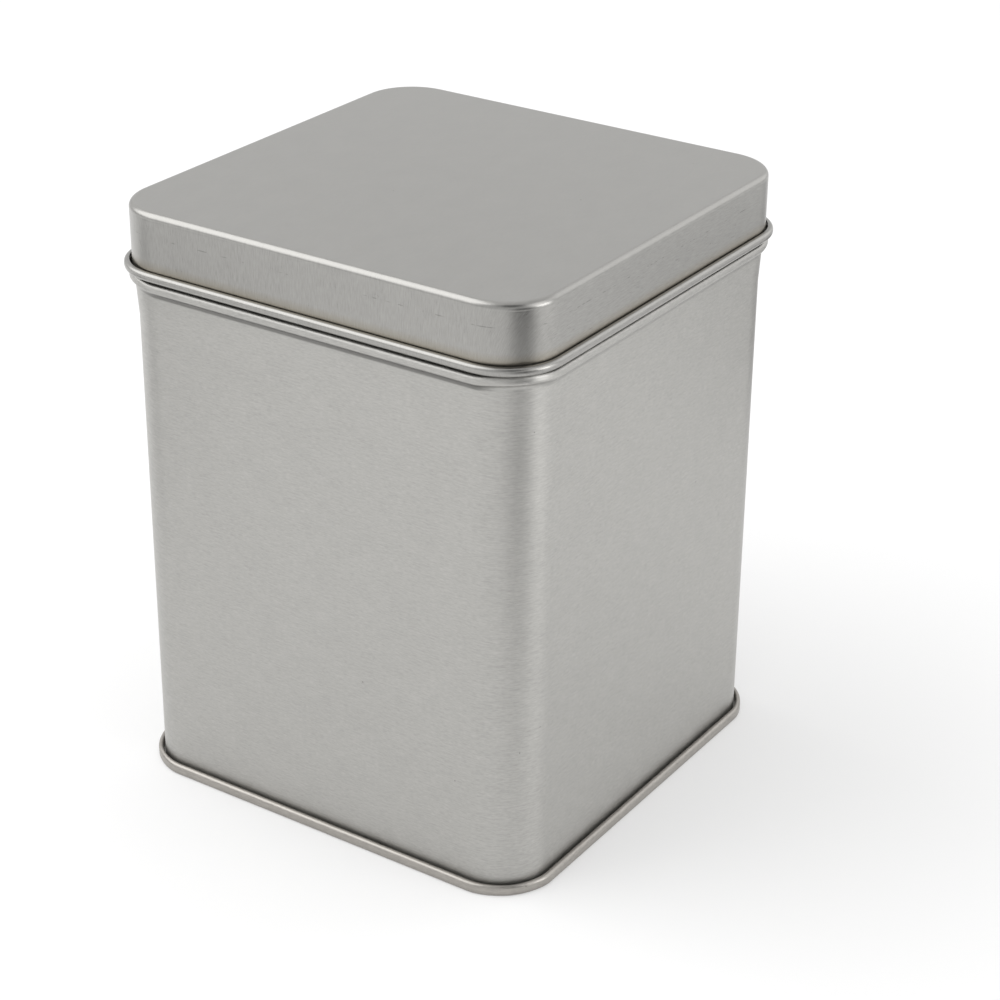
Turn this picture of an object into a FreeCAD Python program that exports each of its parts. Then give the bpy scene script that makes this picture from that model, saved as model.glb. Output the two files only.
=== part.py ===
import FreeCAD, Part

import math
import os

import Sketcher

# A square storage tin of plain tinplate, shut by its slip lid, in millimetres.
# The origin is the middle of the base, where the tin stands, with +Z up.
# Three pieces of pressed sheet: the body with its shoulder bead, the lid with
# its rolled edge, and the base end, which is double seamed to the body's foot.

SIZES = {
    # overall
    "body_width": 100.0,      # across the straight walls, both ways
    "body_corner": 11.0,      # outside radius of the body's upright corners
    "tin_height": 132.0,      # from the foot to the top of the lid
    "plate": 0.25,            # thickness of the sheet
    # lid
    "lid_height": 14.35,      # from the top down to the bottom of the curl
    "lid_play": 0.7,          # between the skirt and the body's neck
    "lid_edge": 1.3,          # outside radius round the top
    "curl_bend": 0.58,        # inside radius of the rolled edge
    "curl_rise": 0.24,        # straight run on the outside of the curl
    "curl_rim": 0.1,          # how far the cut rim reaches back to the skirt
    "skirt_tail": 0.6,        # plain strip of skirt that the curl begins with
    # body
    "neck_edge": 1.1,         # rounding of the neck under the lid
    "bead_drop": 1.15,        # from the bottom of the curl to the bead's flat top
    "bead_proud": 1.5,        # how far the shoulder bead stands out from the wall
    "bead_rim": 0.45,         # radius from the flat top over to the bead's flank
    "bead_flank": 2.8,        # radius of the flank that falls back to the wall
    "bead_root": 0.4,         # radius where the flat top and the flank meet the wall
    "side_seam_width": 0.5,   # upright line of the side seam on the back wall
    "side_seam_depth": 0.2,
    # base
    "panel_rise": 2.6,        # base panel above the surface the tin stands on
    "panel_bend": 0.5,        # inside radius at the panel's edge
    "panel_margin": 2.0,      # flat strip of panel that runs into that bend
    "seam_proud": 1.9,        # seam's outer face beyond the body's wall
    "seam_height": 2.4,
    "seam_play": 0.1,         # between the folded layers
    "foot_bend": 0.25,        # inside radius at the foot
    "flange_bend": 0.05,      # inside radius of the body's own folds
    "cover_hook": 0.95,       # straight run of the hook behind the rolled edge
    "body_hook": 1.1,         # straight run of the body's hook inside the seam
}


class Size:
    """A length as a number and as the expression that works it out from the sheet."""

    def __init__(self, number, text):
        self.number = number
        self.text = text

    @staticmethod
    def of(other):
        return other if isinstance(other, Size) else Size(other, str(other))

    def __add__(self, other):
        other = Size.of(other)
        return Size(self.number + other.number, f"({self.text} + {other.text})")

    def __sub__(self, other):
        other = Size.of(other)
        return Size(self.number - other.number, f"({self.text} - {other.text})")

    def __rmul__(self, factor):
        return Size(factor * self.number, f"({factor} * {self.text})")

    def __truediv__(self, divisor):
        return Size(self.number / divisor, f"({self.text} / {divisor})")


def make_sheet(doc):
    """The spreadsheet of driving sizes, one row each, and a Size for every alias."""
    sheet = doc.addObject("Spreadsheet::Sheet", "sizes")
    for row, (alias, number) in enumerate(SIZES.items(), start=1):
        sheet.set(f"A{row}", alias.replace("_", " "))
        sheet.set(f"B{row}", str(number))
        sheet.setAlias(f"B{row}", alias)
    doc.recompute()
    return {alias: Size(float(sheet.get(alias)), f"sizes.{alias}") for alias in SIZES}


def new_body(doc, label):
    body = doc.addObject("PartDesign::Body", label)
    body.Label = label
    body.Placement = FreeCAD.Placement()
    return body


def new_sketch(body, name, role, lift=None):
    """A sketch on one of the body's origin planes, lifted by a Size if given."""
    sketch = body.newObject("Sketcher::SketchObject", name)
    plane = next(item for item in body.Origin.OriginFeatures if item.Role == role)
    sketch.AttachmentSupport = [(plane, "")]
    sketch.MapMode = "FlatFace"
    if lift is not None:
        sketch.AttachmentOffset.Base.z = lift.number
        sketch.setExpression("AttachmentOffset.Base.z", lift.text)
    return sketch


def dimension(sketch, name, kind, where, size):
    """A named constraint, bound to its size."""
    index = sketch.addConstraint(Sketcher.Constraint(kind, *where, size.number))
    sketch.renameConstraint(index, name)
    sketch.setExpression(f"Constraints.{name}", size.text)


def rounded_square(sketch, width, corner):
    """A centred square with arcs at its corners, counterclockwise from +X, -Y."""
    half = width.number / 2
    reach = half - corner.number
    arcs, sides = [], []
    for quarter in range(4):
        turn = math.radians(90 * quarter)
        across = FreeCAD.Rotation(FreeCAD.Vector(0, 0, 1), 90 * quarter)
        centre = across.multVec(FreeCAD.Vector(reach, -reach, 0))
        circle = Part.Circle(centre, FreeCAD.Vector(0, 0, 1), corner.number)
        arcs.append(sketch.addGeometry(Part.ArcOfCircle(circle, turn - math.pi / 2, turn)))
        begin = across.multVec(FreeCAD.Vector(half, -reach, 0))
        end = across.multVec(FreeCAD.Vector(half, reach, 0))
        sides.append(sketch.addGeometry(Part.LineSegment(begin, end)))
    for quarter in range(4):
        following = arcs[(quarter + 1) % 4]
        sketch.addConstraint(Sketcher.Constraint("Tangent", arcs[quarter], 2, sides[quarter], 1))
        sketch.addConstraint(Sketcher.Constraint("Tangent", sides[quarter], 2, following, 1))
        direction = "Vertical" if quarter % 2 == 0 else "Horizontal"
        sketch.addConstraint(Sketcher.Constraint(direction, sides[quarter]))
        if quarter:
            sketch.addConstraint(Sketcher.Constraint("Equal", arcs[0], arcs[quarter]))
    sketch.addConstraint(Sketcher.Constraint("Symmetric", arcs[0], 3, arcs[2], 3, -1, 1))
    dimension(sketch, "corner", "Radius", (arcs[0],), corner)
    dimension(sketch, "width", "DistanceX", (sides[2], 1, sides[0], 1), width)
    dimension(sketch, "depth", "DistanceY", (sides[3], 1, sides[1], 1), width)


def strip(sketch, start, heading, steps, plate):
    """The section of a bent sheet, drawn to the right of a path through `start`.

    `heading` is the first direction in degrees. A step is ("run", length) or
    ("bend", inside radius, turn), where the turn is in degrees, positive to the left.
    """
    def direction(angle):
        return FreeCAD.Vector(math.cos(math.radians(angle)), math.sin(math.radians(angle)), 0)

    def add_bend(near, centre, radius, turn):
        first = math.atan2(near.y - centre.y, near.x - centre.x)
        span = math.radians(abs(turn))
        begin = first if turn > 0 else first - span
        circle = Part.Circle(centre, FreeCAD.Vector(0, 0, 1), radius)
        return sketch.addGeometry(Part.ArcOfCircle(circle, begin, begin + span))

    left = FreeCAD.Vector(start[0].number, start[1].number, 0)
    right = left + direction(heading - 90) * plate.number
    begins = (left, right)
    chains = ([], [])       # (geometry, its first end, its last end) on the left and the right
    for number, step in enumerate(steps, start=1):
        if step[0] == "run":
            ahead = direction(heading) * step[1].number
            for chain, point in zip(chains, (left, right)):
                line = sketch.addGeometry(Part.LineSegment(point, point + ahead))
                level = "Horizontal" if heading % 180 == 0 else "Vertical"
                sketch.addConstraint(Sketcher.Constraint(level, line))
                chain.append((line, 1, 2))
            dimension(sketch, f"run_{number}", "Distance", (chains[0][-1][0],), step[1])
            left, right = left + ahead, right + ahead
        else:
            bend, turn = step[1], step[2]
            side = 1 if turn > 0 else -1
            inner = left if turn > 0 else right
            centre = inner + direction(heading + 90 * side) * bend.number
            ends = (1, 2) if turn > 0 else (2, 1)
            for chain, point in zip(chains, (left, right)):
                radius = (point - centre).Length
                chain.append((add_bend(point, centre, radius, turn), *ends))
            inside = chains[0 if turn > 0 else 1][-1][0]
            sketch.addConstraint(
                Sketcher.Constraint("Coincident", chains[0][-1][0], 3, chains[1][-1][0], 3))
            dimension(sketch, f"bend_{number}", "Radius", (inside,), bend)
            rotation = FreeCAD.Rotation(FreeCAD.Vector(0, 0, 1), turn)
            left = centre + rotation.multVec(left - centre)
            right = centre + rotation.multVec(right - centre)
            heading += turn
    for chain in chains:
        for (one, _, last), (other, first, _) in zip(chain, chain[1:]):
            sketch.addConstraint(Sketcher.Constraint("Tangent", one, last, other, first))
    caps = ((begins, 0, 1), ((left, right), -1, 2))
    for (near, far), place, end in caps:
        cap = sketch.addGeometry(Part.LineSegment(near, far))
        level = "Horizontal" if abs(near.y - far.y) < abs(near.x - far.x) else "Vertical"
        sketch.addConstraint(Sketcher.Constraint(level, cap))
        for chain, corner in zip(chains, (1, 2)):
            sketch.addConstraint(Sketcher.Constraint("Coincident", cap, corner, chain[place][0], end))
        if place == 0:
            dimension(sketch, "plate", "Distance", (cap,), plate)
    dimension(sketch, "start_x", "DistanceX", (-1, 1, chains[0][0][0], 1), start[0])
    dimension(sketch, "start_z", "DistanceY", (-1, 1, chains[0][0][0], 1), start[1])


def pad(body, name, sketch, length):
    feature = body.newObject("PartDesign::Pad", name)
    feature.Profile = sketch
    feature.Length = length.number
    feature.setExpression("Length", length.text)
    return feature


def sweep(body, name, section, path):
    """Carries a section once round the tin along a closed path."""
    feature = body.newObject("PartDesign::AdditivePipe", name)
    feature.Profile = section
    feature.Spine = (path, [])
    return feature


def edges_at(shape, level):
    """Names of the edges that lie wholly at one height."""
    return [f"Edge{number}" for number, edge in enumerate(shape.Edges, start=1)
            if abs(edge.BoundBox.ZMin - level) < 1e-4 and abs(edge.BoundBox.ZMax - level) < 1e-4]


def fillet(body, name, base, level, radius):
    feature = body.newObject("PartDesign::Fillet", name)
    feature.Base = (base, edges_at(base.Shape, level))
    feature.Radius = radius.number
    feature.setExpression("Radius", radius.text)
    return feature


def make_tin_body(doc, s):
    """The body: straight walls, a bead for a shoulder, and a hook folded into the seam.

    The tin is shut, so the body is solid up to the neck that carries the lid.
    """
    body = new_body(doc, "tin_body")
    wall = s["body_width"] / 2
    floor = s["panel_rise"] + s["plate"]
    curl_bottom = s["tin_height"] - s["lid_height"]
    bead_top = curl_bottom - s["bead_drop"]

    outline = new_sketch(body, "body_outline", "XY_Plane", floor)
    rounded_square(outline, s["body_width"], s["body_corner"])
    neck_top = s["tin_height"] - s["plate"]
    walls = pad(body, "walls", outline, neck_top - floor)
    doc.recompute()
    rounded = fillet(body, "neck_rounding", walls, neck_top.number, s["neck_edge"])

    path = new_sketch(body, "wall_path", "XY_Plane")
    rounded_square(path, s["body_width"], s["body_corner"])

    bead = new_sketch(body, "bead_section", "XZ_Plane")
    bead_section(bead, wall, bead_top, s)
    sweep(body, "shoulder_bead", bead, path)

    # the wall runs down into the seam, turns out over the foot and up as a hook
    flange = s["plate"] + s["flange_bend"]
    foot = s["plate"] + s["seam_play"]
    hook_face = wall + s["seam_proud"] - s["plate"] - s["seam_play"]
    hook = new_sketch(body, "hook_section", "XZ_Plane")
    strip(hook, (wall, floor + s["plate"]), -90, [
        ("run", floor + s["plate"] - foot - flange),
        ("bend", s["flange_bend"], 90),
        ("run", hook_face - wall - flange - s["flange_bend"]),
        ("bend", s["flange_bend"], 90),
        ("run", s["body_hook"]),
    ], s["plate"])
    sweep(body, "seam_hook", hook, path)

    # the side seam is a fine upright line down the back wall, from bead to base
    line = new_sketch(body, "side_seam_outline", "XY_Plane", s["seam_height"])
    upright(line, wall, s["side_seam_width"], s["side_seam_depth"])
    seam = body.newObject("PartDesign::Pocket", "side_seam")
    seam.Profile = line
    seam.Reversed = True
    seam_top = bead_top - s["bead_rim"] - s["bead_flank"]
    seam.Length = (seam_top - s["seam_height"]).number
    seam.setExpression("Length", (seam_top - s["seam_height"]).text)
    body.Tip = seam
    return body


def bead_section(sketch, wall, top, s):
    """A shoulder on the wall: a flat top, a tight rim and a long flank back to the wall."""
    up = FreeCAD.Vector(0, 0, 1)
    rim, flank, root = (s[name].number for name in ("bead_rim", "bead_flank", "bead_root"))
    proud = s["bead_proud"].number
    lean = math.acos(1 - proud / (flank + root))
    rim_level = top.number - rim
    low_level = rim_level - (flank + root) * math.sin(lean)
    high_level = top.number + root
    outer = wall.number + proud

    def arc(x, level, radius, first, last):
        circle = Part.Circle(FreeCAD.Vector(x, level, 0), up, radius)
        return sketch.addGeometry(Part.ArcOfCircle(circle, first, last))

    def line(*points):
        ends = [FreeCAD.Vector(x, level, 0) for x, level in points]
        return sketch.addGeometry(Part.LineSegment(*ends))

    inner = wall.number - s["plate"].number
    high = arc(wall.number + root, high_level, root, math.pi, 1.5 * math.pi)
    shelf = line((wall.number + root, top.number), (outer - rim, top.number))
    nose = arc(outer - rim, rim_level, rim, 0, math.pi / 2)
    side = arc(outer - flank, rim_level, flank, -lean, 0)
    low = arc(wall.number + root, low_level, root, math.pi - lean, math.pi)
    lower = line((wall.number, low_level), (inner, low_level))
    back = line((inner, low_level), (inner, high_level))
    upper = line((inner, high_level), (wall.number, high_level))
    constraints = [
        ("Tangent", high, 2, shelf, 1), ("Tangent", shelf, 2, nose, 2),
        ("Tangent", nose, 1, side, 2), ("Tangent", side, 1, low, 1),
        ("Coincident", low, 2, lower, 1), ("Coincident", lower, 2, back, 1),
        ("Coincident", back, 2, upper, 1), ("Coincident", upper, 2, high, 1),
        ("Horizontal", shelf), ("Horizontal", lower), ("Vertical", back), ("Horizontal", upper),
        ("Horizontal", high, 3, high, 1), ("Horizontal", low, 3, low, 2),
        ("Horizontal", nose, 3, nose, 1), ("Vertical", high, 1, low, 2), ("Equal", high, low),
    ]
    for constraint in constraints:
        sketch.addConstraint(Sketcher.Constraint(*constraint))
    dimension(sketch, "wall", "DistanceX", (-1, 1, low, 2), wall)
    dimension(sketch, "proud", "DistanceX", (low, 2, nose, 1), s["bead_proud"])
    dimension(sketch, "top", "DistanceY", (-1, 1, shelf, 1), top)
    dimension(sketch, "rim", "Radius", (nose,), s["bead_rim"])
    dimension(sketch, "flank", "Radius", (side,), s["bead_flank"])
    dimension(sketch, "root", "Radius", (low,), s["bead_root"])
    dimension(sketch, "inside", "Distance", (lower,), s["plate"])


def upright(sketch, wall, width, depth):
    """A narrow rectangle that reaches in through the back wall."""
    half = width.number / 2
    near, far = wall.number - depth.number, wall.number + depth.number
    corners = [FreeCAD.Vector(-half, near, 0), FreeCAD.Vector(half, near, 0),
               FreeCAD.Vector(half, far, 0), FreeCAD.Vector(-half, far, 0)]
    lines = [sketch.addGeometry(Part.LineSegment(corners[side], corners[(side + 1) % 4]))
             for side in range(4)]
    for side in range(4):
        following = lines[(side + 1) % 4]
        sketch.addConstraint(Sketcher.Constraint("Coincident", lines[side], 2, following, 1))
    sketch.addConstraint(Sketcher.Constraint("Symmetric", lines[0], 1, lines[0], 2, -2))
    sketch.addConstraint(Sketcher.Constraint("Horizontal", lines[2]))
    for side in (1, 3):
        sketch.addConstraint(Sketcher.Constraint("Vertical", lines[side]))
    dimension(sketch, "width", "Distance", (lines[0],), width)
    dimension(sketch, "bottom_of_line", "DistanceY", (-1, 1, lines[0], 1), wall - depth)
    dimension(sketch, "reach", "Distance", (lines[1],), 2 * depth)


def make_tin_lid(doc, s):
    """The slip lid: a drawn cap whose skirt ends in an edge rolled outwards and up."""
    lid = new_body(doc, "tin_lid")
    play = s["lid_play"]
    width = s["body_width"] + 2 * play + 2 * s["plate"]
    corner = s["body_corner"] + play + s["plate"]
    roll_middle = s["tin_height"] - s["lid_height"] + s["curl_bend"] + s["plate"]

    outline = new_sketch(lid, "lid_outline", "XY_Plane", roll_middle + s["skirt_tail"])
    rounded_square(outline, width, corner)
    skirt_height = s["tin_height"] - roll_middle - s["skirt_tail"]
    block = pad(lid, "cap", outline, skirt_height)
    doc.recompute()
    rounded = fillet(lid, "top_rounding", block, s["tin_height"].number, s["lid_edge"])
    doc.recompute()
    open_side = min(range(len(rounded.Shape.Faces)),
                    key=lambda index: rounded.Shape.Faces[index].BoundBox.ZMax)
    hollow = lid.newObject("PartDesign::Thickness", "drawn_sheet")
    hollow.Base = (rounded, [f"Face{open_side + 1}"])
    hollow.Value = s["plate"].number
    hollow.setExpression("Value", s["plate"].text)
    hollow.Reversed = True
    doc.recompute()

    path = new_sketch(lid, "skirt_path", "XY_Plane")
    rounded_square(path, width, corner)
    curl = new_sketch(lid, "curl_section", "XZ_Plane")
    strip(curl, (width / 2, roll_middle + s["skirt_tail"]), -90, [
        ("run", s["skirt_tail"]),
        ("bend", s["curl_bend"], 180),
        ("run", s["curl_rise"]),
        ("bend", s["curl_bend"], 90),
        ("run", s["curl_rim"]),
    ], s["plate"])
    lid.Tip = sweep(lid, "curl", curl, path)
    return lid


def make_base_end(doc, s):
    """The base end: a raised panel whose edge folds down, under and over the body's hook."""
    base = new_body(doc, "base_end")
    plate, play = s["plate"], s["seam_play"]
    wall = s["body_width"] / 2
    chuck_wall = wall - plate - play
    roll_bend = plate / 2 + play
    foot = s["foot_bend"] + plate
    roll = roll_bend + plate
    panel_edge = chuck_wall - plate - s["panel_bend"]

    outline = new_sketch(base, "panel_outline", "XY_Plane", s["panel_rise"])
    rounded_square(outline, 2 * panel_edge, s["body_corner"] - (wall - panel_edge))
    pad(base, "panel", outline, plate)

    path = new_sketch(base, "seam_path", "XY_Plane")
    rounded_square(path, s["body_width"], s["body_corner"])
    section = new_sketch(base, "seam_section", "XZ_Plane")
    strip(section, (panel_edge - s["panel_margin"], s["panel_rise"] + plate), 0, [
        ("run", s["panel_margin"]),
        ("bend", s["panel_bend"], -90),
        ("run", s["panel_rise"] - s["panel_bend"] - foot),
        ("bend", s["foot_bend"], 90),
        ("run", s["seam_proud"] + play + 2 * plate - 2 * foot),
        ("bend", s["foot_bend"], 90),
        ("run", s["seam_height"] - foot - roll),
        ("bend", roll_bend, 180),
        ("run", s["cover_hook"]),
    ], plate)
    base.Tip = sweep(base, "seam", section, path)
    return base


def main():
    doc = FreeCAD.newDocument("storage_tin")
    sizes = make_sheet(doc)
    pieces = [make_tin_body(doc, sizes), make_tin_lid(doc, sizes), make_base_end(doc, sizes)]
    doc.recompute()
    for item in doc.Objects:
        if "Invalid" in item.State or "Error" in item.State:
            raise RuntimeError(f"{item.Name} did not compute: {item.State}")
    for piece in pieces:
        if piece.Shape.isNull() or not piece.Shape.isValid():
            raise RuntimeError(f"{piece.Label} has no valid shape")
    os.makedirs("parts", exist_ok=True)
    for piece in pieces:
        piece.Shape.exportStep(f"parts/{piece.Label}.step")
        box = piece.Shape.BoundBox
        print(f"{piece.Label}: {len(piece.Shape.Solids)} solid, {piece.Shape.Volume:.0f} mm3, "
              f"{box.XLength:.2f} x {box.YLength:.2f} x {box.ZLength:.2f} mm, "
              f"z {box.ZMin:.2f} to {box.ZMax:.2f}")


main()
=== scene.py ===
# %% [markdown]
# # A square storage tin
# A tin like this is three pieces of pressed sheet: a body, a slip lid and a base end.
# The solids that carry the sizes come from the shared frame. This script dresses them:
# it presses the same three pieces again as fine, smooth meshes, gives them brushed
# tinplate, and sets them on a pale floor in soft light.

# %% The frame
import math

import bmesh
import bpy
from mathutils import Matrix, Vector


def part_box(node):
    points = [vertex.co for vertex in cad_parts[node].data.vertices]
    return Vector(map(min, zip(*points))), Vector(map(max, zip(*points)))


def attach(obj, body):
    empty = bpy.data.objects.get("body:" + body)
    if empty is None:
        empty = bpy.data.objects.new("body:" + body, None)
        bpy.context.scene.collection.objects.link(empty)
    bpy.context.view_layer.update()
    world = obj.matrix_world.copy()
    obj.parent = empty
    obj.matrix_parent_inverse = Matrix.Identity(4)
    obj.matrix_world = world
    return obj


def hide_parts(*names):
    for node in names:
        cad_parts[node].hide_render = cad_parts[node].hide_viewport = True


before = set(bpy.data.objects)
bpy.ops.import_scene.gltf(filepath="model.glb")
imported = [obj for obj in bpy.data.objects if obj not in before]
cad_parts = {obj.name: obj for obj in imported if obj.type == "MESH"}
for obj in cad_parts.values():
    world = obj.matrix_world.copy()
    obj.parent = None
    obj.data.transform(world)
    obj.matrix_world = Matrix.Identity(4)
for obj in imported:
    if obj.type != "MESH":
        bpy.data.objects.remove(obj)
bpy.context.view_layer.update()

MM = 0.001

# %% [markdown]
# ## Sizes
# Every size comes from the three nodes of the frame, or is one of the few that belong
# to the sheet itself: its thickness and the radii that it is bent to. Nothing is moved
# or scaled afterwards, so each piece lies where the solid that it replaces lies.

# %% Sizes
lid_low, lid_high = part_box("tin_lid")
base_low, base_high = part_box("base_end")
TIN_HEIGHT = lid_high[2]
CURL_BOTTOM = lid_low[2]
CURL_HALF = lid_high[0]          # middle of the tin to the outside of the lid's curl
SEAM_HALF = base_high[0]         # middle of the tin to the outside of the base seam

PLATE = 0.25 * MM                # thickness of the sheet
CORNER = 11.0 * MM               # radius of the walls' upright corners
SEAM_PROUD = 1.9 * MM            # seam beyond the wall
WALL = SEAM_HALF - SEAM_PROUD    # middle of the tin to the outside of its wall
REACH = WALL - CORNER            # middle of the tin to the centre of a corner
CURL_BEND = 0.58 * MM            # inside radius of the lid's rolled edge
SKIRT = CURL_HALF - 2 * CURL_BEND - PLATE    # middle of the tin to the outside of the skirt
print(f"walls {2 * WALL / MM:.1f} mm wide, skirt {2 * SKIRT / MM:.1f}, height {TIN_HEIGHT / MM:.1f}")

# %% [markdown]
# ## Bending sheet
# A rolled edge could be a curve with a bevel, or a long list of points. Here it is bent
# the way the press bends it. A section starts as one short edge, as long as the sheet is
# thick. A run pushes that edge ahead, and a bend spins it about the centre of the bend.
# Each point also keeps how far along the sheet it lies, because the brush marks were
# made on the flat sheet, before it was pressed.

# %% A section of bent sheet
FINE = 0.06 * MM                 # short rows beside a bend keep the flat next to it flat
DEGREES_A_STEP = 11.0


class Section:
    """A path, or a strip of sheet on its right-hand side, drawn in the XZ plane."""

    def __init__(self, x, z, heading, plate=0.0):
        self.bm = bmesh.new()
        self.along = self.bm.verts.layers.float.new("along")
        self.plate = plate
        self.heading = heading
        self.travelled = 0.0
        self.point = Vector((x, 0.0, z))
        first = self.bm.verts.new(self.point)
        self.front = [first]
        if plate:
            second = self.bm.verts.new(self.point + self.direction(-90) * plate)
            self.front += [second, self.bm.edges.new((first, second))]
        self.start = list(self.front)

    def direction(self, turn=0):
        angle = math.radians(self.heading + turn)
        return Vector((math.cos(angle), 0.0, math.sin(angle)))

    def mark(self, travelled):
        self.travelled = travelled
        for item in self.front:
            if isinstance(item, bmesh.types.BMVert):
                item[self.along] = travelled

    def push(self, length, steps=1):
        for _ in range(steps):
            made = bmesh.ops.spin(self.bm, geom=self.front, cent=(0, 0, 0), axis=(0, 0, 1), angle=0,
                                  dvec=self.direction() * (length / steps), steps=1)
            self.front = made["geom_last"]
            self.mark(self.travelled + length / steps)
        self.point += self.direction() * length

    def run(self, length, longest=6 * MM):
        """Straight sheet, with a short row at each end."""
        edge = min(FINE, length / 4)
        middle = length - 2 * edge
        self.push(edge)
        self.push(middle, max(1, math.ceil(middle / longest)))
        self.push(edge)
        return self

    def bend(self, radius, turn):
        """A bend to the left if the turn is positive; the radius is on its inside."""
        side = 1 if turn > 0 else -1
        near = self.point if side > 0 else self.point + self.direction(-90) * self.plate
        centre = near + self.direction(90 * side) * radius
        middle_radius = radius + self.plate / 2
        steps = max(2, math.ceil(abs(turn) / DEGREES_A_STEP))
        for _ in range(steps):
            made = bmesh.ops.spin(self.bm, geom=self.front, cent=centre, axis=(0, -1, 0),
                                  angle=math.radians(turn / steps), steps=1)
            self.front = made["geom_last"]
            self.mark(self.travelled + math.radians(abs(turn) / steps) * middle_radius)
        self.point = centre + Matrix.Rotation(math.radians(turn), 3, (0, -1, 0)) @ (self.point - centre)
        self.heading += turn
        return self

    def corner(self, turn):
        """A sharp turn of a path without thickness."""
        self.heading += turn
        return self


print(f"a bend of 90 degrees has {math.ceil(90 / DEGREES_A_STEP)} steps")

# %% [markdown]
# ## Round the tin
# All three pieces have the same plan: a square with round corners. Their sections are
# carried round it, not lathed. One corner is a quarter of a spin about the corner's own
# centre, one side is a push along the wall, and three copies turned about the middle
# of the tin close the ring. What is left open at the top and the bottom is filled flat.

# %% Carrying a section round the tin
PANEL_START = 40 * MM            # where the sections start on the flat of a panel
CORNER_STEPS = 24
SIDE_STEPS = 26
SIDE_END = 5 * FINE              # the row of a side that lies beside a corner
SAME_POINT = 0.002 * MM          # points nearer than this are one


def carry_round(name, section):
    bm = section.bm
    if section.plate:
        # only the sheet's skin is carried: not its inside, and not its first edge
        bmesh.ops.delete(bm, geom=bm.faces[:], context="FACES_KEEP_BOUNDARY")
        first_edge = [edge for edge in bm.edges if set(edge.verts) == set(section.start[:2])]
        bmesh.ops.delete(bm, geom=first_edge, context="EDGES_FACES")
    bmesh.ops.translate(bm, verts=bm.verts[:], vec=(0, REACH, 0))
    line = bm.verts[:] + bm.edges[:]
    made = bmesh.ops.spin(bm, geom=line, cent=(REACH, REACH, 0), axis=(0, 0, 1),
                          angle=math.radians(90), steps=CORNER_STEPS)
    side = 2 * REACH
    for length, steps in ((SIDE_END, 1), (side - 2 * SIDE_END, SIDE_STEPS), (SIDE_END, 1)):
        made = bmesh.ops.spin(bm, geom=made["geom_last"], cent=(0, 0, 0), axis=(0, 0, 1),
                              angle=0, dvec=(-length / steps, 0, 0), steps=steps)
    quarter = bm.verts[:] + bm.edges[:] + bm.faces[:]
    bmesh.ops.spin(bm, geom=quarter, cent=(0, 0, 0), axis=(0, 0, 1),
                   angle=math.radians(270), steps=3, use_duplicate=True)
    bmesh.ops.remove_doubles(bm, verts=bm.verts[:], dist=SAME_POINT)
    open_edges = [edge for edge in bm.edges if edge.is_boundary]
    bmesh.ops.holes_fill(bm, edges=open_edges, sides=0)
    bmesh.ops.recalc_face_normals(bm, faces=bm.faces[:])
    volume = bm.calc_volume() / MM ** 3
    print(f"{name}: {len(bm.faces)} faces, {count_open(bm)} open edges, volume {volume:.0f} mm3")
    return bm


def count_open(bm):
    return sum(not edge.is_manifold for edge in bm.edges)


print(f"a corner has {CORNER_STEPS} steps and a side {SIDE_STEPS + 2}")

# %% [markdown]
# ## What the press does at the corners
# Sheet that is drawn round a corner is crowded, so rolled edges don't keep quite the same
# distance from the wall there. The rings above are exact, and the corners are eased after:
# a point moves most at the middle of its corner and not at all along the straight sides.

# %% Easing the corners


def fade(value, start, end):
    """0 at the start, 1 at the end, and smooth between."""
    share = min(1.0, max(0.0, (value - start) / (end - start)))
    return share * share * (3 - 2 * share)


def plan_of(point):
    """The foot of a point on the inner square of corner centres, and the way out from there."""
    foot = Vector([min(REACH, max(-REACH, part)) for part in point.xy] + [0.0])
    return foot, Vector((point.x, point.y, 0.0)) - foot


def corner_share(point):
    """1 at the middle of a corner and 0 along the straight sides."""
    way = plan_of(point)[1].normalized()
    return 1 - (1 - (2 * way.x * way.y) ** 2) ** 2


def ease_corners(bm, outwards=None, upwards=None):
    """Each rule gives a move for a vertex, as it is at the middle of a corner."""
    for vert in bm.verts:
        out = plan_of(vert.co)[1]
        share = corner_share(vert.co)
        if share:
            if outwards:
                vert.co += out.normalized() * outwards(vert, out.length - CORNER) * share
            if upwards:
                vert.co.z += upwards(vert) * share
    return bm


quarter_way = Vector((REACH + math.cos(math.radians(22.5)), REACH + math.sin(math.radians(22.5)), 0))
print(f"a quarter of the way round a corner, a move has {corner_share(quarter_way):.2f} of its size")

# %% [markdown]
# ## From a mesh to a piece
# A piece is smooth but for its cut edges. It takes the place of one CAD node, and it
# rides on the frame's one body, since the lid only rests on the tin.

# %% Finishing a piece
CUT_EDGE = math.radians(35)      # a sharper turn than this stays an edge


def finish_piece(name, bm, *nodes):
    mesh = bpy.data.meshes.new(name)
    bm.to_mesh(mesh)
    bm.free()
    mesh.shade_smooth()
    mesh.set_sharp_from_angle(angle=CUT_EDGE)
    piece = bpy.data.objects.new(name, mesh)
    bpy.context.scene.collection.objects.link(piece)
    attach(piece, "root")
    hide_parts(*nodes)
    return piece


print("cut edges stay sharp from", round(math.degrees(CUT_EDGE)), "degrees")

# %% [markdown]
# ## The foot
# The base end is folded round a hook at the body's foot, and the fold is pressed flat
# into a seam. Both pieces share these sizes, so that their layers lie inside each other.

# %% Sizes of the foot
PANEL_RISE = 2.6 * MM            # base panel above the floor
FLOOR = PANEL_RISE + PLATE       # underside of the body
PLAY = 0.1 * MM                  # between the folded layers of the seam
FLANGE_BEND = 0.05 * MM
BODY_HOOK = 1.1 * MM
SEAM_HEIGHT = 2.4 * MM
SEAM_HUG = 0.39 * MM             # the seam is pressed tighter round a corner


def seam_ease(vert, proud):
    return -SEAM_HUG * fade(proud, 0, SEAM_PROUD) if vert.co.z < 2 * SEAM_HEIGHT else 0.0


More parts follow.
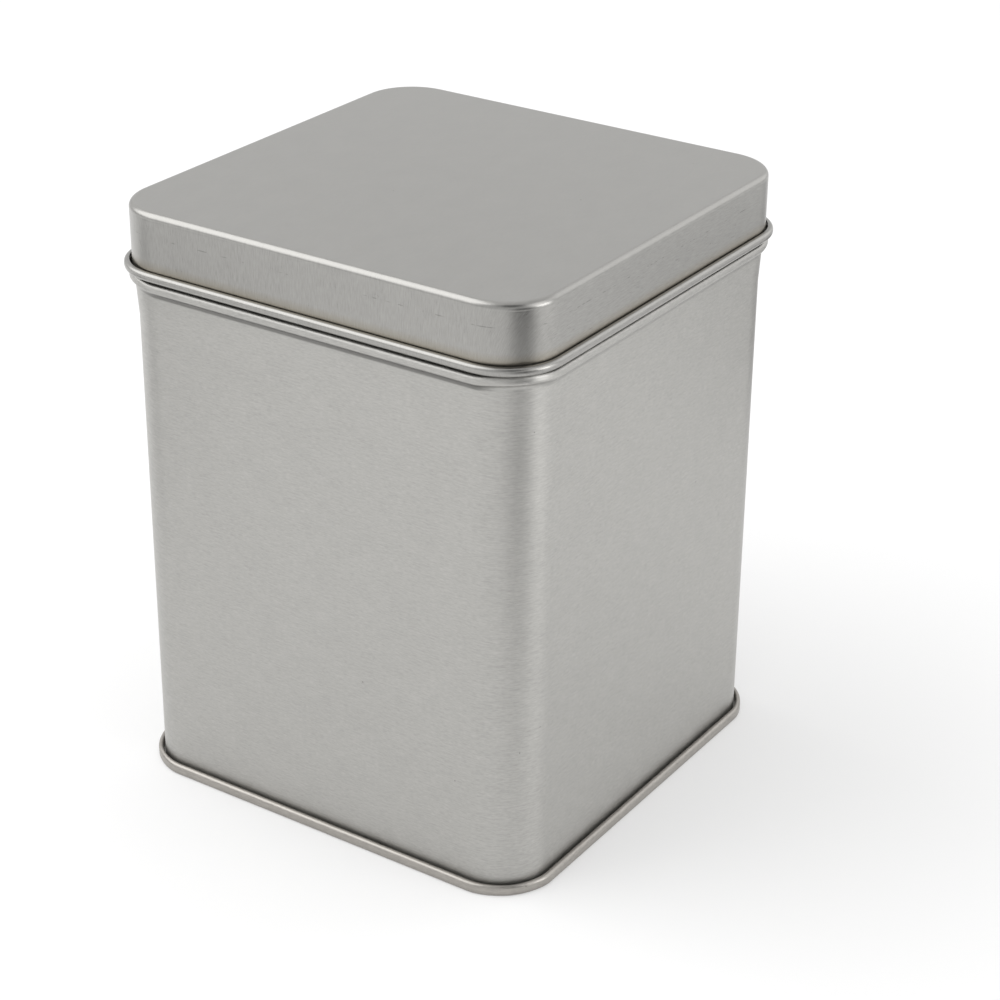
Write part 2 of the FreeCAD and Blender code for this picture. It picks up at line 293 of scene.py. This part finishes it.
print(f"the seam is {SEAM_HEIGHT / MM:.1f} mm high and stands {SEAM_PROUD / MM:.1f} mm out")

# %% [markdown]
# ## The bead
# The bead under the lid is pressed out of the wall from inside. Its top is flat, because
# the lid stops there, its rim is full, and its flank turns in and runs out into the wall
# on a wide radius. The height of its foot follows from those bends. Round a corner the
# bead runs a little higher, and the wall below it spreads a little.

# %% Sizes of the bead
BEAD_TOP = CURL_BOTTOM - 0.72 * MM
BEAD_PROUD = 1.5 * MM
BEAD_RIM = 0.85 * MM             # radius from the bead's flat top to its flank
BEAD_LAND = 0.42 * MM            # the flank falls straight, then turns in
BEAD_TURN = 0.9 * MM
BEAD_LEAN = 62                   # degrees the flank leans in
BEAD_ROOT = 0.5 * MM             # where its flat top meets the neck
BEAD_CREASE = 1.2 * MM           # where its flank runs out into the wall
BEAD_LIFT = 0.66 * MM            # how much higher it runs round a corner
BEAD_FLARE = 0.45 * MM           # how much the wall below it spreads there
FLARE_REACH = 7 * MM             # how far down the wall those two are felt
LIFT_REACH = 8 * MM
NECK_REACH = 3 * MM              # and how far up the neck the lift is

lean_cos, lean_sin = math.cos(math.radians(BEAD_LEAN)), math.sin(math.radians(BEAD_LEAN))
both_bends = BEAD_TURN + BEAD_CREASE
BEAD_SLANT = (BEAD_PROUD - both_bends * (1 - lean_cos)) / lean_sin
BEAD_LOW = BEAD_TOP - BEAD_RIM - BEAD_LAND - BEAD_SLANT * lean_cos - both_bends * lean_sin


def bead_flare(vert, proud):
    height = vert.co.z
    below = fade(height, BEAD_LOW - FLARE_REACH, BEAD_LOW)
    return BEAD_FLARE * below * (1 - fade(height, BEAD_LOW, BEAD_TOP))


def bead_lift(vert):
    height = vert.co.z
    below = fade(height, BEAD_LOW - LIFT_REACH, BEAD_LOW)
    return BEAD_LIFT * below * (1 - fade(height, BEAD_TOP, BEAD_TOP + NECK_REACH))


print(f"the bead runs from {BEAD_LOW / MM:.2f} to {BEAD_TOP / MM:.2f} mm above the floor")

# %% [markdown]
# ## Painted shade in the crease
# The crease under the bead is painted darker, as painted shade. A number on each
# vertex says how much lies there, and the tinplate reads it. It is most on the front and
# back walls, a third of that on the other two, and none round the corners.

# %% Painted shade in the crease
CREASE_SHADE_RUN = 0.3 * MM           # it reaches this far down the wall


def crease_shade(bm, start, end):
    """Lays painted shade between two distances along the body's section."""
    depth = bm.verts.layers.float.new("crease_shade")
    along = bm.verts.layers.float["along"]
    for vert in bm.verts:
        begun = fade(vert[along], start - 0.5 * MM, start)
        ended = fade(vert[along], end - 0.1 * MM, end + CREASE_SHADE_RUN)
        wear_and_shade = 1.0 if abs(vert.co.y) > abs(vert.co.x) else 0.35
        vert[depth] = begun * (1 - ended) * wear_and_shade * (1 - corner_share(vert.co))
    return bm


print(f"tarnish ends {CREASE_SHADE_RUN / MM:.1f} mm below the crease")

# %% [markdown]
# ## The side seam
# The body starts as a flat strip whose two ends are welded together, which leaves one
# upright line up the middle of the back wall. Cuts through that wall's mesh give the
# line its edges, and the strip between them is pressed in.

# %% Pressing in the side seam
SIDE_SEAM_WIDTH = 0.5 * MM
SIDE_SEAM_DEPTH = 0.2 * MM
SIDE_SEAM_FLOOR = 0.6            # the share of its width that lies at the full depth
NEAR_WALL = 0.05 * MM
SEAM_FOOT = SEAM_HEIGHT + 0.1 * MM
SEAM_HEAD = BEAD_LOW - 0.1 * MM


def press_side_seam(bm):
    half = SIDE_SEAM_WIDTH / 2
    floor = half * SIDE_SEAM_FLOOR
    cuts = [((place, 0, 0), (1, 0, 0)) for place in (-half, -floor, floor, half)]
    cuts += [((0, 0, place), (0, 0, 1)) for place in (SEAM_HEIGHT, SEAM_FOOT, SEAM_HEAD)]
    for place, normal in cuts:
        near = [face for face in bm.faces if on_back_wall(face.calc_center_median())]
        edges = {edge for face in near for edge in face.edges}
        corners = {vert for face in near for vert in face.verts}
        bmesh.ops.bisect_plane(bm, geom=[*corners, *edges, *near], dist=0.001 * MM,
                               plane_co=place, plane_no=normal)
    for vert in bm.verts:
        inside = abs(vert.co.x) < (floor + half) / 2 and vert.co.y > WALL - NEAR_WALL
        if inside and (SEAM_HEIGHT + SEAM_FOOT) / 2 < vert.co.z < (SEAM_HEAD + BEAD_LOW) / 2:
            vert.co.y -= SIDE_SEAM_DEPTH
    print(f"side seam pressed in: {len(bm.faces)} faces, {count_open(bm)} open edges")
    return bm


def on_back_wall(middle):
    return middle.y > WALL - NEAR_WALL and abs(middle.x) < 3 * MM and SEAM_PROUD < middle.z < BEAD_LOW


print(f"a line {SIDE_SEAM_WIDTH / MM:.1f} mm wide and {SIDE_SEAM_DEPTH / MM:.1f} mm deep")

# %% [markdown]
# ## The body
# The body is a straight tube with the bead near its top and its hook at the foot. The tin
# is shut, so the piece is closed above the neck and below the floor, and its section is
# a path without thickness that runs down the outside.

# %% The body
NECK_TOP = TIN_HEIGHT - PLATE
NECK_EDGE = 1.1 * MM


def press_body():
    flange = PLATE + FLANGE_BEND
    foot = PLATE + PLAY
    out = SEAM_PROUD - PLATE - PLAY - flange - FLANGE_BEND
    path = Section(PANEL_START, NECK_TOP, 0)
    # the neck
    path.run(WALL - NECK_EDGE - PANEL_START).bend(NECK_EDGE, -90)
    path.run(NECK_TOP - NECK_EDGE - BEAD_TOP - BEAD_ROOT).bend(BEAD_ROOT, 90)
    # the bead
    path.run(BEAD_PROUD - BEAD_ROOT - BEAD_RIM).bend(BEAD_RIM, -90).run(BEAD_LAND)
    path.bend(BEAD_TURN, -BEAD_LEAN)
    turned = path.travelled
    path.run(BEAD_SLANT).bend(BEAD_CREASE, BEAD_LEAN)
    rooted = path.travelled
    # the wall
    path.run(CREASE_SHADE_RUN).run(BEAD_LOW - foot - flange - CREASE_SHADE_RUN)
    # the hook, out and up and back again, and the floor
    path.bend(FLANGE_BEND, 90).run(out).bend(FLANGE_BEND, 90).run(BODY_HOOK)
    path.corner(-90).run(PLATE).corner(-90).run(BODY_HOOK)
    path.bend(flange, -90).run(out).bend(flange, -90).run(FLOOR - foot - flange)
    path.corner(90).run(WALL - PLATE - PANEL_START)
    return crease_shade(carry_round("tin body", path), turned, rooted)


pressed = ease_corners(press_side_seam(press_body()),
                       lambda vert, proud: bead_flare(vert, proud) + seam_ease(vert, proud), bead_lift)
body = finish_piece("body_of_tinplate", pressed, "tin_body")

# %% [markdown]
# ## The lid
# The lid is drawn from one flat sheet. Its top edge has a small radius, under which the
# skirt leans in and out again by a few degrees: the line that the die leaves. The foot of
# the skirt is rolled outwards and up, so that no cut edge meets a hand. Its grain was
# brushed on the flat blank, so a UV map lays each point back to where it was there.

# %% The lid
LID_EDGE = 1.3 * MM
CURL_RISE = 0.24 * MM
CURL_RIM = 0.28 * MM
CURL_STAND = 0.25 * MM           # the curl stands further off the skirt round a corner
DRAW_LINE = 3                    # degrees that the skirt leans in
DRAW_BEND = 0.6 * MM


def lay_flat(bm, along):
    """A UV map in metres on the sheet as it was before it was pressed."""
    flat = bm.loops.layers.uv.new("blank")
    for face in bm.faces:
        for loop in face.loops:
            foot, out = plan_of(loop.vert.co)
            length = PANEL_START - REACH + loop.vert[along]
            loop[flat].uv = (foot + out.normalized() * length).xy
    return bm


def press_lid():
    roll_middle = CURL_BOTTOM + CURL_BEND + PLATE
    sheet = Section(PANEL_START, TIN_HEIGHT, 0, PLATE)
    sheet.run(SKIRT - LID_EDGE - PANEL_START).bend(LID_EDGE - PLATE, -90 - DRAW_LINE)
    sheet.run(0.25 * MM).bend(DRAW_BEND, 1.7 * DRAW_LINE)
    sheet.run(0.15 * MM).bend(DRAW_BEND, -0.7 * DRAW_LINE)
    sheet.run(sheet.point.z - roll_middle)
    roll_start = sheet.travelled
    roll_out = roll_start + math.pi / 2 * (CURL_BEND + PLATE / 2)
    sheet.bend(CURL_BEND, 180).run(CURL_RISE).bend(CURL_BEND, 90).run(CURL_RIM)
    along = sheet.along
    bm = lay_flat(carry_round("tin lid", sheet), along)
    return ease_corners(bm, lambda vert, proud: CURL_STAND * fade(vert[along], roll_start, roll_out))


lid = finish_piece("lid_of_tinplate", press_lid(), "tin_lid")

# %% [markdown]
# ## The base end
# The base panel stands a little above the table. Its edge goes down, under the foot of
# the body and up again, and is rolled in over the body's hook: a double seam.

# %% The base end
PANEL_BEND = 0.5 * MM
FOOT_BEND = 0.25 * MM
ROLL_BEND = 0.48 * MM            # the roll over the hook is full, not pressed flat
COVER_HOOK = 0.95 * MM


def press_base():
    foot = FOOT_BEND + PLATE
    panel_edge = WALL - 2 * PLATE - PLAY - PANEL_BEND
    sheet = Section(PANEL_START, FLOOR, 0, PLATE)
    sheet.run(panel_edge - PANEL_START).bend(PANEL_BEND, -90)
    sheet.run(PANEL_RISE - PANEL_BEND - foot).bend(FOOT_BEND, 90)
    sheet.run(SEAM_PROUD + PLAY + 2 * PLATE - 2 * foot).bend(FOOT_BEND, 90)
    sheet.run(SEAM_HEIGHT - foot - ROLL_BEND - PLATE).bend(ROLL_BEND, 180).run(COVER_HOOK)
    return ease_corners(carry_round("base end", sheet), seam_ease)


base = finish_piece("base_of_tinplate", press_base(), "base_end")

# %% [markdown]
# ## Shader maths
# Brush marks are numbers that are mixed, scaled and added. Written as nodes, each sum
# is three lines. A small class that stands for a socket turns `a * 2 + b` into nodes.

# %% Sockets that take part in sums


class Wire:
    """An output socket; an operator on it adds a Math node."""

    def __init__(self, finish, socket):
        self.finish = finish
        self.socket = socket

    def sum(self, operation, *terms):
        return self.finish.node("ShaderNodeMath", dict(enumerate(terms)), operation=operation)

    def __add__(self, other):
        return self.sum("ADD", self, other)

    def __sub__(self, other):
        return self.sum("SUBTRACT", self, other)

    def __rsub__(self, other):
        return self.sum("SUBTRACT", other, self)

    def __mul__(self, other):
        return self.sum("MULTIPLY", self, other)

    def beside(self, name):
        """Another output of the same node."""
        return Wire(self.finish, self.socket.node.outputs[name])

    __radd__ = __add__
    __rmul__ = __mul__


class Finish:
    """A material and the one way to add a node to it."""

    def __init__(self, name):
        self.material = bpy.data.materials.new(name)
        self.material.use_nodes = True
        self.tree = self.material.node_tree
        self.tree.nodes.clear()

    def node(self, kind, inputs=None, output=0, **settings):
        node = self.tree.nodes.new(kind)
        for name, value in settings.items():
            setattr(node, name, value)
        for name, value in (inputs or {}).items():
            if isinstance(value, Wire):
                self.tree.links.new(value.socket, node.inputs[name])
            else:
                node.inputs[name].default_value = value
        return Wire(self, node.outputs[output]) if len(node.outputs) else None

    def place(self):
        """Where a point lies on the object, in metres."""
        return self.node("ShaderNodeTexCoord", output=OBJECT_PLACE)

    def ramp(self, value, start, end, low=0.0, high=1.0):
        """The low value before the start, the high one past the end, straight between."""
        return self.node("ShaderNodeMapRange", {
            0: value, "From Min": start, "From Max": end, "To Min": low, "To Max": high})

    def surface(self, shader):
        self.node("ShaderNodeOutputMaterial", {"Surface": shader})
        return self.material


UV_PLACE, OBJECT_PLACE = 2, 3    # two outputs of the coordinates node
print("sums of sockets: + - *")

# %% [markdown]
# ## Brushed tinplate
# A brush leaves fine scratches, long one way and hair-thin the other. Stretched noise
# makes them: its scale is high across the grain and low along it. It changes the colour
# and the roughness a little, and through a bump it spreads the gloss across the grain.
# A coarser cloud of noise keeps a wall from being even, and a few cells of a Voronoi
# pattern become the dark specks of a tin that has been handled.

# %% Tinplate
# the brown of the painted shade just above the lid's curl
SHADE_BROWN = (0.30, 0.255, 0.175, 1)
HAIR_TONE, STROKE_TONE, CLOUD_TONE = 0.46, 0.36, 0.14
# the second tone is painted shade in the crease under the bead
SPECK_TONE, CREASE_SHADE_TONE = 0.45, 0.55
MARKS_GLOSS, CLOUD_GLOSS = 0.25, 0.10
STROKE_BUMP, BUMP_STRENGTH, BUMP_DEPTH = 0.8, 0.35, 0.02 * MM
SPECKS = 140.0                   # cells in a metre
SPECK_SHARE = 0.6                # the share of cells that stay clean
SPECK_RIM, SPECK_CORE = 0.030, 0.012


def tinplate(name, grey, place, across, along, cloudy, wear_and_shade, roughness, anisotropic=0.0):
    """`across` and `along` are how many marks there are in a metre, as a scale per axis."""
    finish = Finish(name)
    spot = finish.node("ShaderNodeTexCoord", output=place)

    def grain(scale, detail, shift=0.0):
        mapped = finish.node("ShaderNodeMapping", {
            "Vector": spot, "Scale": scale, "Location": (shift, shift, shift)})
        return finish.node("ShaderNodeTexNoise", {
            "Vector": mapped, "Scale": 1.0, "Detail": detail, "Roughness": 0.6}) - 0.5

    hair = grain(across, 2.0)
    strokes = grain(along, 3.0, 7.0)
    cloud = grain(cloudy, 4.0, 3.0)
    height = finish.node("ShaderNodeSeparateXYZ", {0: finish.place()}, output=2)
    # a rule gives the grain's depth, a factor on the tone that holds painted shade, and the share of brown
    # painted shade
    depth, darkening, curl_shade = wear_and_shade(finish, height)

    cell = finish.node("ShaderNodeTexVoronoi", {"Vector": finish.place(), "Scale": SPECKS})
    chance = finish.node("ShaderNodeSeparateColor", {0: cell.beside("Color")})
    marked = finish.node("ShaderNodeMath", {0: chance, 1: SPECK_SHARE}, operation="GREATER_THAN")
    speck = finish.ramp(cell, SPECK_RIM, SPECK_CORE) * marked

    marks = (hair * HAIR_TONE + strokes * STROKE_TONE) * depth
    # painted shade in the crease under the bead, laid on the vertices
    shaded_crease = finish.node("ShaderNodeAttribute", output=2, attribute_name="crease_shade")
    # specks are real marks; the crease factor and the rule's factor are painted shade
    specks_and_shade = (1.0 - speck * SPECK_TONE) * (1.0 - shaded_crease * CREASE_SHADE_TONE) * darkening
    tone = (1.0 + marks + cloud * CLOUD_TONE) * specks_and_shade
    tinted = finish.node("ShaderNodeMix", {0: curl_shade, 6: grey, 7: SHADE_BROWN}, output=2, data_type="RGBA")
    colour = finish.node("ShaderNodeMix", {0: 1.0, 6: tinted, 7: tone}, output=2,
                         data_type="RGBA", blend_type="MULTIPLY")
    bump = finish.node("ShaderNodeBump", {
        "Height": (hair + strokes * STROKE_BUMP) * depth,
        "Strength": BUMP_STRENGTH, "Distance": BUMP_DEPTH})
    return finish.surface(finish.node("ShaderNodeBsdfPrincipled", {
        "Base Color": colour, "Metallic": 1.0, "Normal": bump,
        "Roughness": roughness + marks * MARKS_GLOSS + cloud * CLOUD_GLOSS,
        "Anisotropic": anisotropic, "Anisotropic Rotation": 0.25}))


# the kinds of wear include painted shade
print("one tinplate, for three greys and three kinds of wear")

# %% [markdown]
# ## Wear and painted shade
# The three pieces are of the same sheet but have had different lives. The walls are as
# they were brushed. The foot of the seam is painted darker where it stands: painted shade.
# Drawing has opened the grain of the lid's skirt, and its edge, skirt and curl are toned
# darker than its top. A die has rubbed a row of fine dots round it, and painted shade in
# brown lies just above the curl. Each rule gives the depth of the grain, a factor on the
# tone, and the share of the brown painted shade.

# %% Wear and painted shade
CURL_TOP = CURL_BOTTOM + 2 * (CURL_BEND + PLATE) + CURL_RISE
RUB_HEIGHT = TIN_HEIGHT - 4.9 * MM   # where the row of dots lies
RUB_TONE = 0.3


def even(finish, height):
    return 1.0, 1.0, 0.0


# painted shade: the seam darkens towards its foot, where it stands on the floor
def shaded_foot(finish, height):
    return 1.0, finish.ramp(height, 0.3 * MM, 1.1 * MM, 0.80, 1.0), 0.0


def skirt_wear_and_shade(finish, height):
    depth = finish.ramp(height, TIN_HEIGHT - 0.2 * MM, TIN_HEIGHT - 1.5 * MM, 0.22, 0.95)
    # the rounded edge, the skirt and the curl are toned darker than the top
    darkening = finish.ramp(height, TIN_HEIGHT - 0.02 * MM, TIN_HEIGHT - 0.2 * MM, 1.0, 0.83)
    apart = finish.node("ShaderNodeMath", {0: height - RUB_HEIGHT}, operation="ABSOLUTE")
    line = finish.ramp(apart, 0.15 * MM, 0.05 * MM)
    dots = finish.ramp(finish.node("ShaderNodeTexNoise", {
        "Vector": finish.place(), "Scale": 600.0, "Detail": 1.0}), 0.54, 0.68)
    # painted shade in brown on the skirt, just above the curl
    above = finish.ramp(height, CURL_TOP + 2.4 * MM, CURL_TOP + 0.1 * MM, 0.0, 0.55)
    clear = finish.node("ShaderNodeMath", {0: height, 1: CURL_TOP}, operation="GREATER_THAN")
    return depth, darkening * (1.0 - line * dots * RUB_TONE), above * clear


# the brown above the curl is painted shade
print(f"dots at {RUB_HEIGHT / MM:.1f} mm, rust from {CURL_TOP / MM:.2f} mm up")

# %% [markdown]
# ## Tinplate on the pieces
# The grain of the walls and the seam runs level, so it is scaled on the object itself.
# The lid's grain runs straight across its blank, so it is scaled on the UV map. The wall
# is the only piece whose gloss is drawn out along the grain enough to see.

# %% Tinplate on the pieces
WALL_GREY = (0.410, 0.404, 0.387, 1)
LID_GREY = (0.392, 0.386, 0.370, 1)
SEAM_GREY = (0.36, 0.342, 0.318, 1)
LEVEL_GRAIN = (900, 900, 4600), (260, 260, 2800), (150, 150, 260)
BLANK_GRAIN = (6000, 520, 1), (3600, 300, 1), (200, 120, 1)

body.data.materials.append(tinplate(
    "brushed_wall", WALL_GREY, OBJECT_PLACE, *LEVEL_GRAIN, even, 0.44, 0.35))
lid.data.materials.append(tinplate(
    "brushed_lid", LID_GREY, UV_PLACE, *BLANK_GRAIN, skirt_wear_and_shade, 0.31))
base.data.materials.append(tinplate(
    "seamed_base", SEAM_GREY, OBJECT_PLACE, *LEVEL_GRAIN, shaded_foot, 0.40))
for piece, slot in ((body, "body_tinplate"), (lid, "lid_tinplate"), (base, "base_tinplate")):
    print(slot, "is", piece.data.materials[0].name)

# %% [markdown]
# ## The floor
# Metal shows what stands round it, so the room matters as much as the tin. The floor is
# a matt grey that catches the tin's soft shadow, and a glow that only the camera and
# reflections see makes it white there without lighting the tin any more.

# %% The floor
FLOOR_SIZE = 6.0
FLOOR_GREY = 0.62
SEEN_GLOW, MIRRORED_GLOW = 0.28, 0.40


def add_stage(name, bm):
    """An object that isn't part of the tin."""
    mesh = bpy.data.meshes.new(name)
    bm.to_mesh(mesh)
    bm.free()
    item = bpy.data.objects.new(name, mesh)
    bpy.context.scene.collection.objects.link(item)
    return item


def lay_floor():
    bm = bmesh.new()
    bmesh.ops.create_grid(bm, x_segments=1, y_segments=1, size=FLOOR_SIZE / 2)
    floor = add_stage("floor", bm)
    finish = Finish("pale_floor")
    camera = finish.node("ShaderNodeLightPath")
    glow = ((camera + camera.beside("Is Transmission Ray")) * SEEN_GLOW
            + camera.beside("Is Glossy Ray") * MIRRORED_GLOW)
    matt = finish.node("ShaderNodeBsdfDiffuse", {"Color": (FLOOR_GREY, FLOOR_GREY, FLOOR_GREY, 1)})
    lit = finish.node("ShaderNodeEmission", {"Color": glow, "Strength": 1.0})
    floor.data.materials.append(finish.surface(finish.node("ShaderNodeAddShader", {0: matt, 1: lit})))


lay_floor()
print(f"a floor {FLOOR_SIZE:.0f} m wide")

# %% [markdown]
# ## Light
# Two big soft boxes stand left and right, and a weaker one behind, and a white world
# fills in from all round. A fourth box stands low on the right. It gives no light of its
# own to what is matt: the metal mirrors it as the lit line down the rounded front corner.

# %% Light
WORLD_GLOW = 0.88


def soft_light(name, direction, away, size, radiance):
    """A soft box that faces the tin; its radiance times its area times pi is its power."""
    lamp = bpy.data.lights.new(name, "AREA")
    lamp.shape = "RECTANGLE"
    lamp.size, lamp.size_y = size
    lamp.energy = radiance * math.pi * size[0] * size[1]
    light = bpy.data.objects.new(name, lamp)
    bpy.context.scene.collection.objects.link(light)
    way = Vector(direction).normalized()
    light.matrix_world = (Matrix.Translation(way * away)
                          @ way.to_track_quat("Z", "Y").to_matrix().to_4x4())
    print(f"{name}: {lamp.energy:.1f} W")
    return light


soft_light("left_box", (-0.57, -0.35, 0.72), 1.1, (1.2, 1.1), 1.80)
soft_light("back_box", (0.35, 0.78, 0.48), 1.2, (0.9, 0.8), 0.70)
soft_light("right_box", (0.80, 0.10, 0.55), 1.2, (0.7, 0.7), 1.10)
soft_light("low_box", (0.98, 0.14, 0.12), 0.8, (0.35, 0.4), 3.5).visible_diffuse = False
world = bpy.data.worlds.new("studio")
world.use_nodes = True
world.node_tree.nodes["Background"].inputs["Color"].default_value = (1, 1, 1, 1)
world.node_tree.nodes["Background"].inputs["Strength"].default_value = WORLD_GLOW
bpy.context.scene.world = world
bpy.context.scene.view_settings.view_transform = "Standard"

# %% [markdown]
# ## Dark cards
# In an all-white room brushed metal looks flat. A studio hangs dark cards round it, and
# their soft reflections give the rounded corners their shade. Four are enough: one low
# before the front corner, one high for the lid's edge, and a small one at each side. They
# fade to clear at the rim, cast no shadow, and only reflections show them.

# %% Dark cards
CARD_GREY = 0.03
CARD_CORE = 0.35                 # the share of the radius that is fully dark


def dark_card(name, azimuth, climb, away, radius, strength):
    """A round card that faces the tin; the angles are in degrees."""
    turn = Matrix.Rotation(math.radians(azimuth), 4, "Z") @ Matrix.Rotation(math.radians(90 - climb), 4, "Y")
    place = turn @ Matrix.Translation((0, 0, away))
    bm = bmesh.new()
    bmesh.ops.create_circle(bm, cap_ends=True, segments=48, radius=radius, matrix=place)
    card = add_stage(name, bm)
    card.visible_camera = card.visible_diffuse = card.visible_shadow = False
    finish = Finish("soft_" + name)
    apart = finish.node("ShaderNodeVectorMath", {0: finish.place(), 1: place.translation[:]},
                        output=1, operation="DISTANCE")
    dark = finish.ramp(apart, radius, radius * CARD_CORE, 0.0, strength)
    clear = finish.node("ShaderNodeBsdfTransparent")
    black = finish.node("ShaderNodeBsdfDiffuse", {"Color": (CARD_GREY, CARD_GREY, CARD_GREY, 1)})
    card.data.materials.append(finish.surface(finish.node("ShaderNodeMixShader", {
        0: dark, 1: clear, 2: black})))
    print(f"{name}: {2 * radius / MM:.0f} mm across, {away / MM:.0f} mm away")


dark_card("low_card", -28, 5, 0.33, 0.18, 1.0)
dark_card("high_card", -42, 50, 0.50, 0.20, 1.0)
dark_card("right_card", 70, -8, 0.25, 0.12, 1.0)
dark_card("left_card", -144, -8, 0.25, 0.12, 0.8)

# %% [markdown]
# ## Camera
# A long lens looks down on the front corner, so that two walls and the lid show.

# %% Camera
AIM = Vector((0, 0, 60 * MM))
AZIMUTH, ELEVATION = math.radians(34.823), math.radians(26.563)
DISTANCE = 555.91 * MM
PAN, TILT, ROLL = math.radians(-1.0305), math.radians(0.1546), math.radians(0.039)
LENS_IN_FRAMES = 2.5277          # focal length as a share of the frame's width
FRAME = 36                       # mm


def place_camera():
    lens = bpy.data.cameras.new("camera")
    lens.sensor_width = FRAME
    lens.lens = FRAME * LENS_IN_FRAMES
    camera = bpy.data.objects.new("camera", lens)
    bpy.context.scene.collection.objects.link(camera)
    back = Vector((math.sin(AZIMUTH) * math.cos(ELEVATION), -math.cos(AZIMUTH) * math.cos(ELEVATION),
                   math.sin(ELEVATION)))
    right = Vector((math.cos(AZIMUTH), math.sin(AZIMUTH), 0))
    basis = Matrix((right, back.cross(right), back)).transposed()
    swing = Matrix.Rotation(PAN, 3, "Y") @ Matrix.Rotation(-TILT, 3, "X") @ Matrix.Rotation(ROLL, 3, "Z")
    camera.matrix_world = Matrix.Translation(AIM + back * DISTANCE) @ (basis @ swing).to_4x4()
    bpy.context.scene.camera = camera
    print(f"the camera stands {DISTANCE / MM:.0f} mm away with a lens of {lens.lens:.0f} mm")


place_camera()
